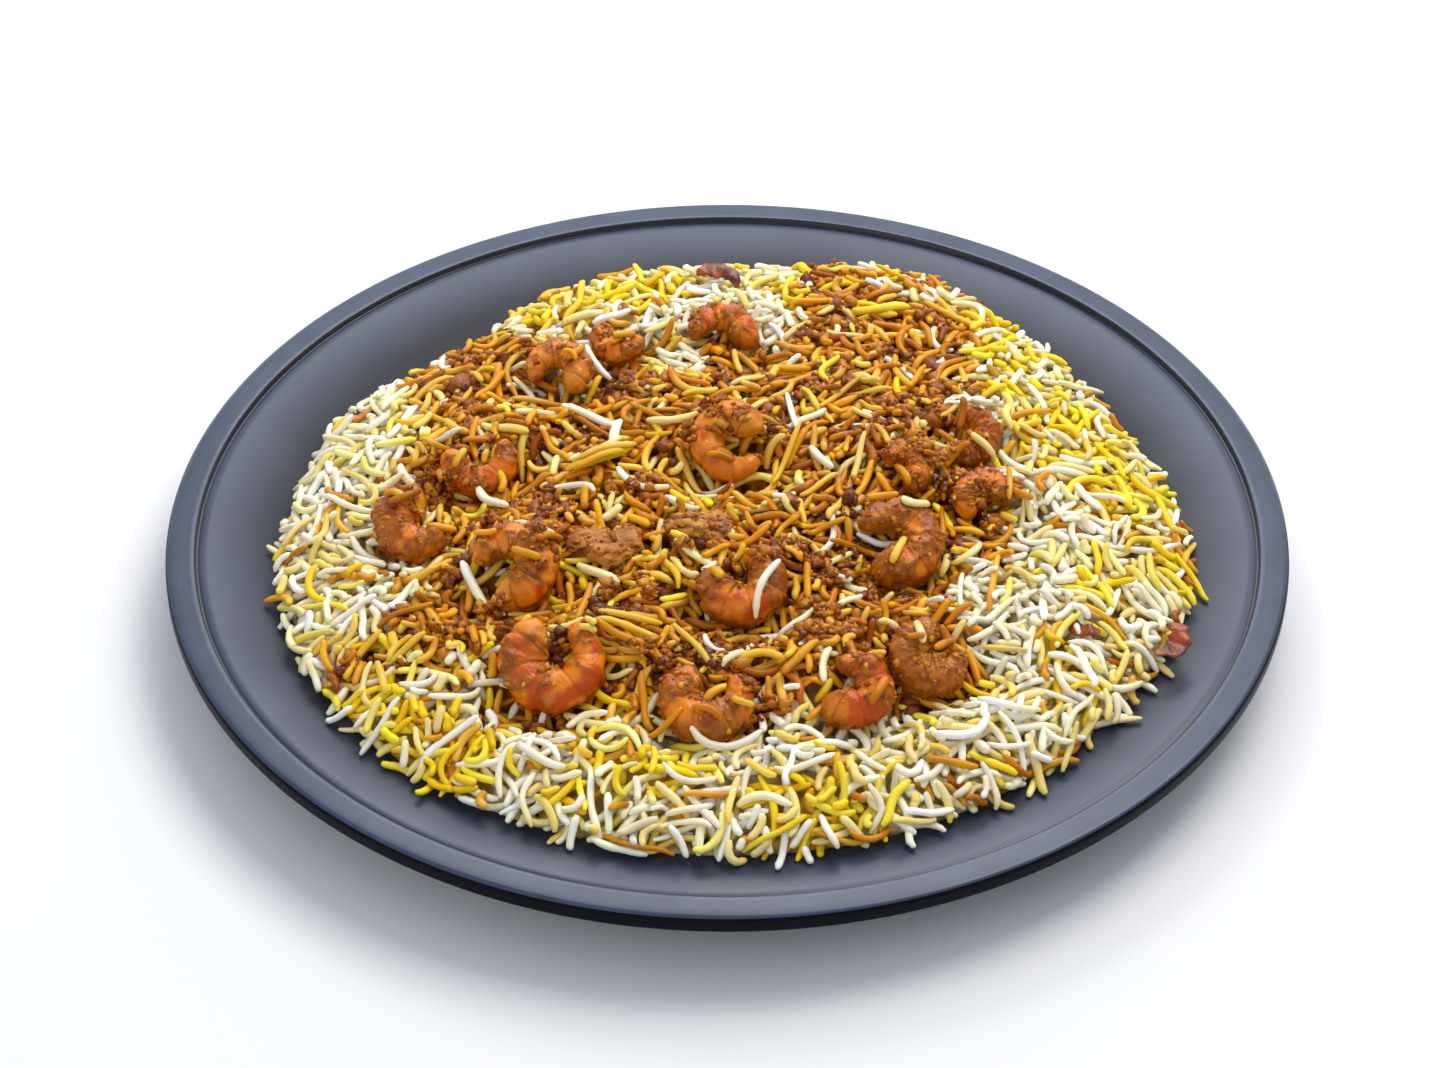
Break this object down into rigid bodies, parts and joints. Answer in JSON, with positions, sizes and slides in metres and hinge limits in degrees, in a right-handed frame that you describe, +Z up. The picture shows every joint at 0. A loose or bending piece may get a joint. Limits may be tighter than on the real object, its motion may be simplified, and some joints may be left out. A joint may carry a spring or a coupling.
{
  "type": "prawn biryani on a plate",
  "caption": "Low round heap of long-grain spiced rice topped with curled prawns, prawn flakes and fried onion, on a wide dark plate with a raised lip and a foot ring.",
  "frame": {"origin": "on the table under the middle of the plate's foot ring", "axes": "+Z up; -Y is the side nearest the viewer, +X to the viewer's right"},
  "size_m": [0.3, 0.3, 0.049],
  "materials": {
    "melamine": "dark slate melamine, satin",
    "rice": "cooked long-grain rice, white, yellow and golden, slightly moist",
    "prawn": "cooked prawn in brown masala, moist",
    "fried_onion": "dark fried onion, oily"
  },
  "bodies": {
    "root": {"plate": "melamine", "rice_heap": "rice", "prawn_01": "prawn", "prawn_02": "prawn", "prawn_03": "prawn", "prawn_04": "prawn", "prawn_05": "prawn", "prawn_06": "prawn", "prawn_07": "prawn", "prawn_08": "prawn", "prawn_09": "prawn", "prawn_10": "prawn", "prawn_11": "prawn", "prawn_12": "prawn", "prawn_13": "prawn", "prawn_14": "prawn", "prawn_15": "prawn", "prawn_16": "prawn", "prawn_flake_1": "prawn", "prawn_flake_2": "prawn", "fried_onion_1": "fried_onion", "fried_onion_2": "fried_onion", "fried_onion_3": "fried_onion"}
  },
  "joints": []
}
